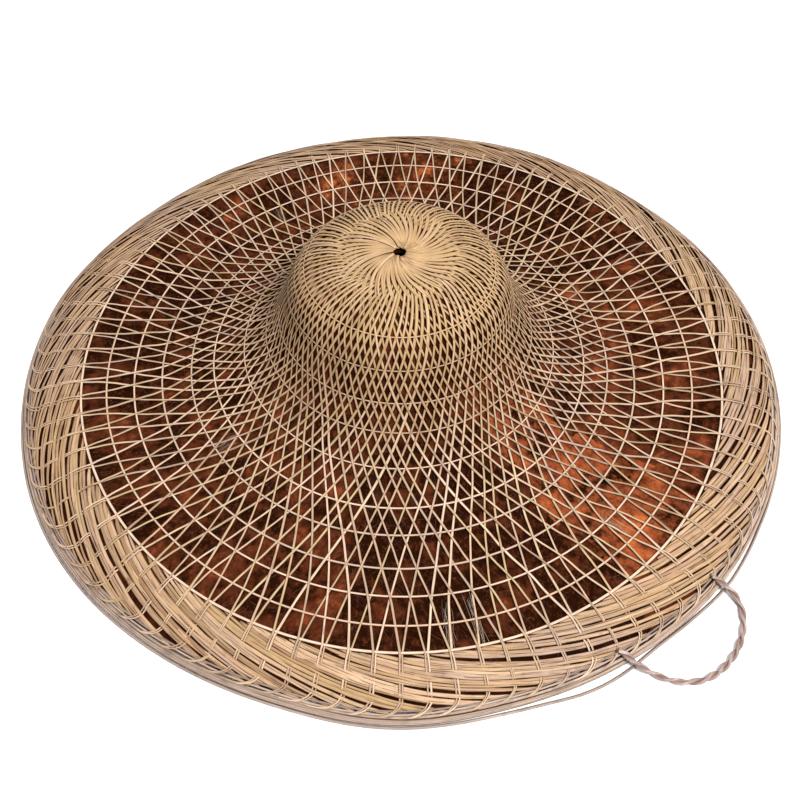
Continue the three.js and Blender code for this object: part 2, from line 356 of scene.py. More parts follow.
class Finish:
    """A material that is put together by expressions."""

    def __init__(self, name):
        self.material = bpy.data.materials.new(name)
        self.material.use_nodes = True
        self.tree = self.material.node_tree
        self.shader = self.tree.nodes["Principled BSDF"]

    def node(self, kind, settings=None, inputs=(), output=0):
        """Adds a node, sets it up, feeds its sockets by place or by name and gives one of its outputs."""
        made = self.tree.nodes.new(kind)
        for key, value in (settings or {}).items():
            setattr(made, key, value)
        pairs = inputs.items() if isinstance(inputs, dict) else enumerate(inputs)
        for key, value in pairs:
            self.feed(made.inputs[key], value)
        return Value(self, made.outputs[output])

    def feed(self, socket, value):
        if isinstance(value, Value):
            self.tree.links.new(value.socket, socket)
        else:
            socket.default_value = value

    def set(self, **inputs):
        """Feeds the shader's own sockets, named with spaces as underscores."""
        for key, value in inputs.items():
            self.feed(self.shader.inputs[key.replace("_", " ")], value)

    def mix(self, share, low, high):
        return self.node("ShaderNodeMix", {"data_type": "RGBA"}, {0: share, 6: low, 7: high}, output=2)

    def ramp(self, value, low, high):
        """A value's rise from 0 to 1 between two levels."""
        return self.node("ShaderNodeMapRange", {"interpolation_type": "SMOOTHSTEP"}, (value, low, high))

    def noise(self, vector, scale, detail, roughness=0.55):
        inputs = {"Vector": vector, "Scale": scale, "Detail": detail, "Roughness": roughness}
        return self.node("ShaderNodeTexNoise", {"noise_dimensions": "3D"}, inputs)

    def place(self):
        return self.node("ShaderNodeTexCoord", output="Object")

    def along(self, across_scale, along_scale, turn=0.0):
        """The piece's UV map, turned and then stretched by these scales."""
        uv = self.node("ShaderNodeUVMap", {"uv_map": "along"})
        inputs = {"Vector": uv, "Rotation": (0, 0, turn), "Scale": (1 / across_scale, 1 / along_scale, 1)}
        return self.node("ShaderNodeMapping", {"vector_type": "TEXTURE"}, inputs)

    def from_axis(self):
        """Metres from the crown's axis."""
        x, y = (self.node("ShaderNodeSeparateXYZ", None, (self.place(),), output=i) for i in range(2))
        return ((x - AXIS[0]) ** 2 + (y - AXIS[1]) ** 2) ** 0.5

    def off_crest(self, crest):
        """0 along the middle of a strand's upper face, 1 where its sides turn under: the mask of the painted
        side shade.
        """
        uv = self.node("ShaderNodeUVMap", {"uv_map": "along"})
        round_share = self.node("ShaderNodeSeparateXYZ", None, (uv,))
        return (round_share - crest).absolute() * 4

    def strand(self):
        """The three shares that each strand carries."""
        colour = self.node("ShaderNodeAttribute", {"attribute_name": "strand"}, output="Color")
        return [self.node("ShaderNodeSeparateColor", None, (colour,), output=i) for i in range(3)]

    def bump(self, height, distance, strength):
        inputs = {"Height": height, "Distance": distance, "Strength": strength}
        return self.node("ShaderNodeBump", None, inputs, output="Normal")


CROWN_TONE = paint(184, 146, 92)


def bamboo_finish(name, body, pale, green, grey, stain_and_side_shade, crest=0.75, roughness=0.5):
    """Split bamboo: long fibres, painted shade along the sides, a colour of its own for each strand, and
    stains of age.
    """
    finish = Finish(name)
    pale_share, green_share, grey_share = finish.strand()
    fibres = finish.noise(finish.along(7, 60), 1.0, 4.0, 0.65)
    spots = finish.noise(finish.place(), 55.0, 3.0)
    patches = finish.noise(finish.place(), 9.0, 2.0)
    colour = finish.mix(pale_share, body, pale)
    colour = finish.mix(green_share * 0.6, colour, green)
    brown = finish.ramp((pale_share * 7.31).fraction(), 0.62, 1.0)
    colour = finish.mix(brown * 0.38, colour, stain_and_side_shade)
    weather = finish.ramp(patches + grey_share * 0.35, 0.5, 0.95)
    colour = finish.mix(weather * 0.55, colour, grey)
    from_axis = finish.from_axis()
    colour = finish.mix((1 - finish.ramp(from_axis, 0.08, 0.16)) * 0.6, colour, CROWN_TONE)
    stains = finish.ramp(spots, 0.54, 0.78)
    colour = finish.mix(stains * 0.44, colour, stain_and_side_shade)
    streaks = finish.ramp(fibres, 0.3, 0.75)
    colour = finish.mix((1 - streaks) * 0.36, colour, stain_and_side_shade)
    # Painted shade: each splint darkens towards the stain colour where its sides turn away from the crest,
    # less where the strands lie bundled near the cap's middle.
    sides = finish.ramp(finish.off_crest(crest), 0.42, 1.0)
    bundled = 1 - finish.ramp(from_axis, 0.02, 0.034)
    colour = finish.mix(sides * (0.84 - 0.5 * bundled), colour, stain_and_side_shade)
    finish.set(Base_Color=colour, Roughness=roughness + 0.22 * (1 - streaks), Specular_IOR_Level=0.3,
               Normal=finish.bump(fibres, 0.0003, 0.6))
    return finish.material


def bark_finish(name, dark, body, bright, share, turn):
    """Palm bark: matted fibres that cross each other, lighter along the raised fibres, with painted shade that
    darkens their hollows to near black and the bark under the rim and round the hole.
    """
    finish = Finish(name)
    one_way = finish.noise(finish.along(360, 170, turn + 0.55), 1.0, 4.0, 0.7)
    other_way = finish.noise(finish.along(320, 150, turn - 0.6), 1.0, 4.0, 0.7)
    patches = finish.noise(finish.along(21, 17, turn), 1.0, 3.0, 0.6)
    blots = finish.noise(finish.along(95, 85), 1.0, 3.0, 0.6)
    tone = patches * 0.6 + blots * 0.4 + (share - 0.5) * 0.26
    colour = finish.mix(finish.ramp(tone, 0.4, 0.54), dark, body)
    colour = finish.mix(finish.ramp(tone, 0.52, 0.64) * 0.95, colour, bright)
    fibres = one_way * 0.5 + other_way * 0.5
    colour = finish.mix(finish.ramp(fibres, 0.5, 0.66) * 0.34, colour, bright)
    # Painted shade: the hollows between the raised fibres are darkened towards the dark colour.
    hollows = finish.ramp(fibres, 0.36, 0.5)
    colour = finish.mix((1 - hollows) * 0.48, colour, dark)
    from_axis = finish.from_axis()
    # Painted shade: the bark is darkened past the first hoop's radius, under the rim's weave, and round the
    # hole in the crown.
    painted_shade_under_rim_and_hole = finish.ramp(from_axis, 0.298, 0.308) * 0.7 + (1 - finish.ramp(from_axis, 0.009, 0.018)) * 0.9
    colour = finish.mix(painted_shade_under_rim_and_hole, colour, dark)
    finish.set(Base_Color=colour, Roughness=0.92 - 0.1 * hollows, Specular_IOR_Level=0.0,
               Normal=finish.bump(fibres + blots, 0.0012, 0.8))
    return finish.material


def cord_finish(name, body, pale, stain_and_side_shade):
    """Twisted fibre cord: fine threads along each ply, and painted shade on the plies' sides."""
    finish = Finish(name)
    threads = finish.noise(finish.along(9, 110, 0.35), 1.0, 4.0, 0.7)
    patches = finish.noise(finish.place(), 60.0, 3.0)
    colour = finish.mix(finish.ramp(threads, 0.35, 0.7), stain_and_side_shade, body)
    colour = finish.mix(finish.ramp(patches, 0.45, 0.7) * 0.6, colour, pale)
    # Painted shade: each ply darkens towards the stain colour on its sides.
    colour = finish.mix(finish.ramp(finish.off_crest(0.25), 0.5, 0.95) * 0.5, colour, stain_and_side_shade)
    finish.set(Base_Color=colour, Roughness=0.78, Normal=finish.bump(threads, 0.0006, 0.8))
    return finish.material


def hair_finish(name, dark, pale, bleached):
    """Loose fibres of the bark, from dark brown to red, and the bleached ones of the tufts."""
    finish = Finish(name)
    shares = finish.strand()
    streaks = finish.noise(finish.place(), 400.0, 2.0)
    colour = finish.mix(shares[0] * 0.8 + streaks * 0.2, dark, pale)
    colour = finish.mix(shares[1], colour, bleached)
    finish.set(Base_Color=colour, Roughness=0.7 + 0.1 * streaks)
    return finish.material


def floor_finish(name, colour):
    finish = Finish(name)
    finish.set(Base_Color=colour, Roughness=0.9)
    return finish.material


# Sizes and colours that a user would change


def length_property(name, description, default):
    return bpy.props.FloatProperty(name=name, description=description, default=default, unit="LENGTH")


def colour_property(name, description, default):
    return bpy.props.FloatVectorProperty(
        name=name, description=description, default=default, subtype="COLOR", size=4, min=0, max=1)


class NetSettings(bpy.types.PropertyGroup):
    pairs: bpy.props.IntProperty(
        name="Pairs", description="Pairs of splints round the hat", default=96, min=24)
    width: length_property("Splint width", "Width of a splint on the brim", 0.002)
    thickness: length_property("Splint thickness", "Thickness of a splint", 0.0007)
    hoop_width: length_property("Hoop width", "Width of the net's hoops", 0.0018)


class RimSettings(bpy.types.PropertyGroup):
    splints: bpy.props.IntProperty(
        name="Splints", description="Flat splints woven round the rim", default=222, min=40)
    width: length_property("Splint width", "Mean width of the rim's splints", 0.0032)


class CordSettings(bpy.types.PropertyGroup):
    length: length_property("Length", "Length of the loop between its two roots", 0.187)
    diameter: length_property("Diameter", "Diameter over both plies", 0.0055)
    twists: bpy.props.FloatProperty(
        name="Twists", description="Full twists of the plies in the loop", default=7.0)


class ColourSettings(bpy.types.PropertyGroup):
    bamboo: colour_property("Bamboo", "Body of the split bamboo", paint(206, 170, 136))
    pale: colour_property("Pale bamboo", "Palest strands and hoops", paint(238, 206, 178))
    green: colour_property("Green bamboo", "Strands cut near the skin", paint(184, 164, 108))
    grey: colour_property("Weathered bamboo", "Rods at the edge and worn strands", paint(172, 150, 140))
    # The stain colour also paints the shade along the splints' and the cord's sides.
    stain_and_side_shade: colour_property("Stain", "Dark fibres and stains of the bamboo", paint(92, 56, 34))
    # Dark bark is also the painted shade in the bark's hollows and under the rim.
    dark_bark_and_shade: colour_property("Dark bark", "Hollows of the bark", paint(32, 13, 5))
    brown_bark: colour_property("Brown bark", "Body of the bark", paint(80, 38, 20))
    red_bark: colour_property("Red bark", "Reddest bark", paint(136, 67, 38))
    orange_bark: colour_property("Orange bark", "Brightest sheet of the bark", paint(182, 98, 50))
    cord: colour_property("Cord", "Body of the cord", paint(212, 188, 178))
    floor: colour_property("Floor", "The plain floor", paint(250, 250, 250))


class StageSettings(bpy.types.PropertyGroup):
    elevation: bpy.props.FloatProperty(
        name="Camera elevation", description="Angle of the camera above the floor",
        default=math.radians(52.95), subtype="ANGLE")
    roll: bpy.props.FloatProperty(
        name="Camera roll", description="Turn of the picture", default=math.radians(0.849), subtype="ANGLE")
    distance: length_property("Camera distance", "From the camera to the point it looks at", 0.9186)
    lens: bpy.props.FloatProperty(name="Lens", description="Focal length in millimetres", default=40.42)


class HatSettings(bpy.types.PropertyGroup):
    net: bpy.props.PointerProperty(type=NetSettings)
    rim: bpy.props.PointerProperty(type=RimSettings)
    cord: bpy.props.PointerProperty(type=CordSettings)
    colours: bpy.props.PointerProperty(type=ColourSettings)
    stage: bpy.props.PointerProperty(type=StageSettings)


def settings():
    return bpy.context.scene.rain_hat


# The stage

# The camera looks at a point a little right of the axis and below the floor
CAMERA_AIM = Vector((AXIS[0] + 0.00196, AXIS[1], -0.0568))
SENSOR_WIDTH = 36.0
NEAREST_SEEN = 0.01
FLOOR_SIZE = 12.0
SKY_STRENGTH = 0.26
LIGHT_AIM = Vector((0, 0, 0.05))

# Each round light: its name, its diameter, its power in watts and its place
LIGHTS = (
    ("key", 0.5, 54, (0.62, -0.95, 1.8)),
    ("fill", 1.6, 21, (-0.2, 0.85, 1.9)),
)


def add_light(name, size, energy, location):
    lamp = bpy.data.lights.new(name, "AREA")
    lamp.shape = "DISK"
    lamp.size = size
    lamp.energy = energy
    stand = bpy.data.objects.new(name, lamp)
    stand.location = location
    stand.rotation_euler = (LIGHT_AIM - Vector(location)).to_track_quat("-Z", "Y").to_euler()
    bpy.context.scene.collection.objects.link(stand)


class RAINHAT_OT_stage(bpy.types.Operator):
    """Set up the floor, the soft lights and the camera"""

    bl_idname = "rain_hat.stage"
    bl_label = "Stage"

    def execute(self, context):
        stage, colours = settings().stage, settings().colours
        bpy.ops.object.select_all(action="DESELECT")
        bpy.ops.mesh.primitive_plane_add(size=FLOOR_SIZE, location=(0, 0, 0))
        floor = context.object
        floor.name = "floor"
        floor.data.materials.append(floor_finish("floor", colours.floor))
        sky = bpy.data.worlds.new("studio")
        sky.use_nodes = True
        background = sky.node_tree.nodes["Background"].inputs
        background["Color"].default_value = (1, 1, 1, 1)
        background["Strength"].default_value = SKY_STRENGTH
        context.scene.world = sky
        for light in LIGHTS:
            add_light(*light)
        context.scene.view_settings.view_transform = "Standard"
        turned = Matrix.Rotation(math.pi / 2 - stage.elevation, 4, "X") @ Matrix.Rotation(stage.roll, 4, "Z")
        backed_off = Matrix.Translation((0, 0, stage.distance))
        lens = bpy.data.cameras.new("camera")
        lens.sensor_width = SENSOR_WIDTH
        lens.lens = stage.lens
        lens.clip_start = NEAREST_SEEN
        camera = bpy.data.objects.new("camera", lens)
        camera.matrix_world = Matrix.Translation(CAMERA_AIM) @ turned @ backed_off
        context.scene.collection.objects.link(camera)
        context.scene.camera = camera
        return {"FINISHED"}


# The cord loop

PLY_STEPS = 10
PLY_SECTION = ring(10)

# One ply's share of the cord's diameter
PLY_SHARE = 0.51


class RAINHAT_OT_cord(bpy.types.Operator):
    """Twist the cord loop out of two plies and lay it from the weave over the floor and back"""

    bl_idname = "rain_hat.cord"
    bl_label = "Cord loop"

    def execute(self, context):
        cord, colours = settings().cord, settings().colours
        rng = np.random.default_rng(11)
        knots = CORD_ROUTE * MM + np.array((*AXIS, 0))
        route = catmull_rom(knots, PLY_STEPS)
        tangent = unit(np.gradient(route, axis=0))
        side = unit(np.cross(tangent, (0, 0, 1)))
        over = np.cross(side, tangent)
        steps = np.linalg.norm(np.diff(route, axis=0), axis=1)
        share = np.concatenate(((0,), np.cumsum(steps))) / steps.sum()
        ply = cord.diameter * PLY_SHARE
        paths, ups = [], []
        for start in (0, math.pi):
            angle = start + math.tau * cord.twists * share + 0.5 * np.sin(9 * share + 1.3)
            lean = side * np.cos(angle)[:, None] + over * np.sin(angle)[:, None]
            paths.append(route + lean * (cord.diameter - ply) / 2)
            ups.append(lean)
        width = ply / MM * (1 + 0.05 * wander(rng, 2, share, 1.0, 0.13))
        loop = strips("cord_loop", np.array(paths), np.array(ups), width, width, PLY_SECTION,
                      strand_tints(rng, 2))
        finish = cord_finish("cord_fibre", colours.cord, paint(236, 216, 208), paint(112, 84, 74))
        finish_piece(loop, "cord_fibre", finish, "hanging_loop")
        return {"FINISHED"}


# Bark

SHEET_EDGES = (-157.5, -120, -82.5, -45, -7.5, 37.5, 60, 120, 165, 202.5)
SHEET_OVERLAP = 1.2
SHEET_TUCK = 2
SHEET_STEP = 0.12
SHEET_OUTER = 342.5
SHEET_COLUMNS_PER_DEGREE = 2.6
SHEET_ROWS = 92
BARK_WALL = 1.1
BARK_HOLE = 6.8

# The bark of the crown: its foot's radius, how far it runs past that, its waist's radius, its grid, and how
# far it sinks under the net, dips towards the hole and sinks at its seam
CROWN_FOOT = 128
CROWN_OVERRUN = 3
CROWN_WAIST = 95
CROWN_GRID = (220, 90)
CROWN_SINK = 0.25
HOLE_DIP = 2.5
SEAM_SINK = 0.85

# Each sheet's body and bright colours, how much of it is bright, and the turn of its fibres
SHEET_LOOKS = (
    ("brown_bark", "red_bark", 0.42, 0.1),
    ("brown_bark", "red_bark", 0.28, -0.15),
    ("brown_bark", "red_bark", 0.36, 0.2),
    ("brown_bark", "red_bark", 0.45, -0.1),
    ("brown_bark", "red_bark", 0.22, 0.05),
    ("red_bark", "orange_bark", 0.5, 0.15),
    ("brown_bark", "red_bark", 0.46, 1.5),
    ("brown_bark", "red_bark", 0.2, 1.3),
    ("brown_bark", "orange_bark", 0.52, -0.05),
)


def bark_lift(rng, arc, distance):
    """The bark's face sinks and swells a little under the net, never above its own top."""
    total = 0 * arc
    for wave, size in ((47.0, 0.32), (23.0, 0.2), (9.0, 0.12), (4.5, 0.07)):
        for _ in range(3):
            turn, phase = rng.uniform(0, math.tau, 2)
            total = total + size / 2 * np.sin(
                math.tau * (arc * math.cos(turn) + distance * math.sin(turn)) / wave + phase)
    return np.minimum(total - 0.6, -0.02)


class RAINHAT_OT_bark(bpy.types.Operator):
    """Cut the bark of the crown and the sheets of the brim"""

    bl_idname = "rain_hat.bark"
    bl_label = "Bark"

    def execute(self, context):
        colours = settings().colours
        inner, outer = distance_of(CROWN_FOOT) - SHEET_TUCK, distance_of(SHEET_OUTER)
        for i, (body, bright, share, turn) in enumerate(SHEET_LOOKS):
            rng = np.random.default_rng(100 + i)
            start, end = SHEET_EDGES[i] - SHEET_OVERLAP, SHEET_EDGES[i + 1] + SHEET_OVERLAP
            step = SHEET_STEP * (i % 2)

            def shape(u, v):
                distance = inner + v * (outer - inner)
                ragged = 0.5 * np.sin(distance / 9 + i) + 0.3 * np.sin(distance / 3.7 + 2 * i)
                azimuth = end - u * (end - start) + (1 - 2 * u) * ragged * 100 / radius_of(distance)
                arc = np.radians(azimuth - (start + end) / 2) * radius_of(distance)
                points, _ = on_profile(distance, azimuth, bark_lift(rng, arc, distance) - step)
                return points, np.stack((arc, distance), axis=-1) * MM

            columns = round((end - start) * SHEET_COLUMNS_PER_DEGREE)
            sheet = grid_piece(f"bark_piece_{i + 1}", columns, SHEET_ROWS, shape, BARK_WALL * MM)
            finish = bark_finish(f"palm_bark_{i + 1}", colours.dark_bark_and_shade, getattr(colours, body),
                                 getattr(colours, bright), share, turn)
            finish_piece(sheet, "palm_bark", finish, f"bark_sheet_{i + 1}")
        self.crown(colours)
        return {"FINISHED"}

    def crown(self, colours):
        rng = np.random.default_rng(99)
        hole, foot = distance_of(BARK_HOLE), distance_of(CROWN_FOOT) + CROWN_OVERRUN

        def shape(u, v):
            distance = hole + v * (foot - hole)
            azimuth = -u * TURN
            arc = np.radians(azimuth) * CROWN_WAIST
            lift = bark_lift(rng, arc, distance) - CROWN_SINK - HOLE_DIP * smoothstep(-distance, -22, -9)
            seam = smoothstep(np.abs(u - 0.5), 0.46, 0.5)
            points, _ = on_profile(distance, azimuth, lift * (1 - seam) - SEAM_SINK * seam)
            return points, np.stack((arc, distance), axis=-1) * MM

        crown = grid_piece("bark_dome", *CROWN_GRID, shape, BARK_WALL * MM)
        finish = bark_finish("palm_bark_crown", paint(44, 19, 8), paint(92, 43, 22), colours.red_bark,
                             0.3, 0.1)
        finish_piece(crown, "palm_bark", finish, "bark_crown")


# The net of splints

# Where the cap and the shoulder of the crown end, as distances along the profile
CAP = 50.0
SHOULDER = 88.0

# The net's layers: its middle over the bark, and how far a splint lies over or under that
NET_MIDDLE = 1.25
LAYER = 0.6
RIM_RAISE = 0.35
STRAND_STEPS = 112
SIDE_BY_SIDE = 0.85

# What the shoulder adds to that for the right-leaning splints, 1, and for the left-leaning ones, -1
SHOULDER_LIFT = {1: -0.3, -1: 0.45}

# How much of the full lean the splints have at each distance
LEAN = np.array((
    (0, 1.0), (200, 1.0), (215, 0.88), (240, 0.74), (255, 0.62), (275, 0.43), (305, 0.34), (325, 0.19),
    (361, 0.16), (361.5, 0),
))
RIGHT_LEAN = 0.205
LEFT_LEAN = 0.179
FIRST_PAIR = 1.0

# On the cap a splint's angle to the radius grows by so many degrees for each millimetre
CAP_ANGLE = 8
CAP_ANGLE_GROWTH = 0.36

# Where the stakes change sides with the rim's rows, and over what distance they and the net's leans do so
STAKE_ROWS = (377.8, 385.2, 393.0, 399.5)
STAKE_SWAP = 1.4
NET_SWAP = 4.0

# The splints' ends bend back along the rim: the turns of the bend, how far it goes out and back, and the tail
BEND_START = 398.0
BEND_TURNS = (12, 26, 40, 54, 68, 80, 90)
BEND_OUT = 12.5
BEND_BACK = 19
TAIL_OUT = 12.6
TAIL_BACK = (25.0, 31.0)
TAIL_TUCK = 1.1

# Behind the crown the stakes vanish under the rim's splints
BEHIND_DROP = 1.8


def lean(distance, rate):
    """Degrees that a splint turns round the hat for each millimetre of profile."""
    return rate * np.interp(distance, LEAN[:, 0], LEAN[:, 1])


def cap_lean(radius):
    """The lean of the splints that spiral over the cap."""
    return np.degrees(np.tan(np.radians(CAP_ANGLE + CAP_ANGLE_GROWTH * radius)) / radius)


def right_lean(distance):
    """The right-leaning splints lean more over the shoulder, and spiral over the cap."""
    on_cap = cap_lean(np.maximum(radius_of(distance), 3))
    shoulder = RIGHT_LEAN + (cap_lean(CAP) - RIGHT_LEAN) * smoothstep(-distance, -SHOULDER, -CAP)
    below = np.where(distance < SHOULDER, shoulder, lean(distance, RIGHT_LEAN))
    return np.where(distance < CAP, on_cap, below)


FINE_STEP = 0.5
FINE = np.arange(0, 430, FINE_STEP)


def total_lean(rates):
    """The turn of a splint between each distance and the rim."""
    return np.cumsum(rates[::-1])[::-1] * FINE_STEP


RIGHT_TURN = total_lean(right_lean(FINE))
LEFT_TURN = total_lean(lean(FINE, LEFT_LEAN))


def swap_distances():
    """Where the two leans change places over and under the hoops: midway between two rings of crossings."""
    apart = 2 * math.degrees(SIDE_BY_SIDE / radius_of(HOOP_DISTANCES[0])) + RIGHT_TURN + LEFT_TURN
    pitch = TURN / settings().net.pairs
    crossings = [float(np.interp(-k * pitch, -apart, FINE)) for k in range(1, 40)]
    crossings = [d for d in crossings if d > CAP]
    middles = [(a + b) / 2 for a, b in zip(crossings, crossings[1:])]
    swaps = []
    for outer, inner in zip(HOOP_DISTANCES, HOOP_DISTANCES[1:]):
        middle = (outer + inner) / 2
        if middle > crossings[0]:
            swaps.append(middle)
        else:
            swaps.append(min(middles, key=lambda d: abs(d - middle)))
    return [*swaps, SHOULDER - 9, CAP + 1.5]


def side_at(distance, swaps, width):
    """1 beyond the last of these places, turning to -1 or back at each of them."""
    side = np.ones_like(distance)
    for swap in swaps:
        side = side * np.tanh((distance - swap) / width)
    return side


# On the cap the right-leaning splints lie in bundles of so many, each splint climbing on the next
BUNDLE_SIZES = (8, 12, 8, 14, 10, 10, 12, 8, 14)
CLIMB = 0.22

# The two of a pair close up by these shares of the pitch: the first round the cap's edge, the second inside
# it, times a random grip of the pair's own, between these two
CLOSE_UP = 0.2
STACK_UP = 0.42
GRIP = (-0.1, 1.1)


class RAINHAT_OT_net(bpy.types.Operator):
    """Weave the two leans of splints from the cap down over the brim and into the rim"""

    bl_idname = "rain_hat.net"
    bl_label = "Net of splints"

    def execute(self, context):
        colours = settings().colours
        finish = bamboo_finish("split_bamboo", colours.bamboo, colours.pale, colours.green, colours.grey,
                               colours.stain_and_side_shade)
        right = self.weave("splints_leaning_right", 1, 5.6, 21)
        finish_piece(right, "split_bamboo", finish, "crown_cap")
        left = self.weave("splints_leaning_left", -1, 36, 22)
        finish_piece(left, "split_bamboo", finish)
        return {"FINISHED"}

    def weave(self, name, way, start, seed):
        net = settings().net
        rng = np.random.default_rng(seed)
        count, pitch = net.pairs, TURN / net.pairs
        main = np.linspace(start, BEND_START, STRAND_STEPS)
        bend = np.radians(BEND_TURNS)
        out = np.concatenate((BEND_OUT * np.sin(bend), np.full(2, TAIL_OUT)))
        distance = np.concatenate((main, BEND_START + out))
        back = np.concatenate((0 * main, BEND_BACK * (1 - np.cos(bend)) ** 0.85, TAIL_BACK))
        radius = np.maximum(radius_of(distance), 4)
        turn = RIGHT_TURN if way > 0 else LEFT_TURN
        centre = FIRST_PAIR + pitch * np.arange(count)[:, None]
        beside = np.degrees(SIDE_BY_SIDE / radius_of(np.maximum(distance, HOOP_DISTANCES[0])))
        beside = beside * (rng.uniform(0.55, 1.1, (count, 1)) + 0.42 * smoothstep(distance, 362, 370))
        calm = smoothstep(distance, 60, 240) * (1 - 0.7 * smoothstep(distance, 330, 375))
        stray = np.degrees(wander(rng, count, distance, 2.4, 700) / np.maximum(radius, 40)) * calm
        stray += pitch * rng.uniform(-0.2, 0.2, (count, 1)) * np.exp(-((distance - 62) / 26) ** 2)
        if way > 0:
            paired = smoothstep(distance, 20, 30) * smoothstep(-distance, -84, -58)
            stacked = smoothstep(-distance, -44, -30)
            grip = np.repeat(np.random.default_rng(seed + 50).uniform(*GRIP, (count // 2, 1)), 2, axis=0)
            closing = CLOSE_UP * paired * (1 - stacked) + STACK_UP * grip * stacked
            stray += pitch * closing * (1 - 2 * (np.arange(count)[:, None] % 2))
        azimuth = centre - way * (beside + np.interp(distance, FINE, turn))
        azimuth = azimuth + stray - np.degrees(back / radius)
        swaps = swap_distances()
        in_threes = np.arange(count) // 3
        slip = rng.uniform(-7, 7, (count, 1))[in_threes] + rng.uniform(-4, 4, (count, 1))
        slip = slip * smoothstep(-distance, -70, -CAP)
        side = way * side_at(distance + slip, swaps, NET_SWAP)
        rim = smoothstep(distance, HOOP_DISTANCES[0] + 1.5, HOOP_DISTANCES[0] + 5)
        side = side * (1 - rim) + side_at(distance, STAKE_ROWS, STAKE_SWAP) * rim
        lift = NET_MIDDLE + RIM_RAISE * rim + LAYER * side
        lift += wander(rng, count, distance, 0.08, 90)
        behind = smoothstep(-np.cos(np.radians(azimuth[:, -1:])), -0.1, 0.7)
        lift -= BEHIND_DROP * behind * smoothstep(distance, 367, 373)
        lift -= TAIL_TUCK * smoothstep(back, 14, 22)
        shoulder = smoothstep(-distance, -110, -SHOULDER) * smoothstep(distance, CAP - 4, CAP + 6)
        crown = smoothstep(-distance, -250, -190)
        width = net.width / MM * (1 + 0.06 * crown + (0.22 if way < 0 else -0.15) * shoulder)
        width = width * (1 - 0.24 * rim - 0.14 * smoothstep(distance, BEND_START - 8, BEND_START + 6))
        width = width * rng.uniform(0.86, 1.18, (count, 1)) * (1 + 0.05 * wander(rng, count, distance, 1, 60))
        lift += SHOULDER_LIFT[way] * shoulder
        if way > 0:
            place = np.resize(np.concatenate([np.arange(size) for size in BUNDLE_SIZES]), count)[:, None]
            overlap = np.clip(1 - np.radians(pitch) * radius / 2.9, 0, 1)
            lift += (place * CLIMB + rng.uniform(-0.05, 0.05, (count, 1))) * overlap
            width = width * (1 + 0.04 * smoothstep(-distance, -CAP - 4, -CAP + 10)
                             + 0.34 * smoothstep(-distance, -36, -16))
            lift += wander(rng, count, distance, 0.16, 16) * smoothstep(-distance, -CAP - 6, -CAP + 4)
        points, up = on_profile(distance, azimuth, lift)
        return strips(name, points, up, width, net.thickness / MM, SPLINT_SECTION, strand_tints(rng, count))


# The second to fourth hoops are pulled in on one side: where, how far either way and by how much
TIGHT_SIDE = 92
TIGHT_SPREAD = 34
TIGHT_BY = 4.2

# Each hoop's share of the net's hoop width: a wide one at the rim and narrow ones up the crown
HOOP_WIDTHS = (1.35, *[1.0] * 5, *[0.72] * 5)
HOOP_THICKNESS = 0.8


class RAINHAT_OT_hoops(bpy.types.Operator):
    """Bend the net's hoops between the two leans of splints"""

    bl_idname = "rain_hat.hoops"
    bl_label = "Hoops"

    def execute(self, context):
        net, colours = settings().net, settings().colours
        finish = bamboo_finish("hoop_bamboo", colours.pale, paint(238, 216, 194), colours.bamboo,
                               colours.bamboo, colours.stain_and_side_shade)
        azimuth = np.arange(0, TURN, 2.0)[None]
        for i, (middle, share) in enumerate(zip(HOOP_DISTANCES, HOOP_WIDTHS)):
            rng = np.random.default_rng(300 + i)
            ripples = sum(rng.uniform(-1, 1) * np.cos(np.radians(k * azimuth) + rng.uniform(0, 6)) / k
                          for k in range(2, 9))
            aside = np.mod(azimuth - TIGHT_SIDE + TURN / 2, TURN) - TURN / 2
            tight = TIGHT_BY * np.exp(-(aside / TIGHT_SPREAD) ** 2) * (0 < i < 4)
            distance = middle + 0.7 * ripples - tight
            points, up = on_profile(distance, azimuth, NET_MIDDLE)
            width = net.hoop_width / MM * share * rng.uniform(0.92, 1.08)
            hoop = strips(f"hoop_ring_{i + 1}", points, up, width, HOOP_THICKNESS, SPLINT_SECTION,
                          strand_tints(rng, 1), closed=True)
            finish_piece(hoop, "hoop_bamboo", finish, f"hoop_{i + 1}")
        return {"FINISHED"}


# The rim

RIM_START = 362.3
RIM_END = 407.0
RIM_SPREAD = 34.0
RIM_STEPS = 40
RIM_THICKNESS = 0.5

# How far the rim's splints lie over the net's middle, swing at the stakes and dip under the first hoop
RIM_MIDDLE = 0.25
RIM_SWING = 0.55
RIM_DIP = 0.7


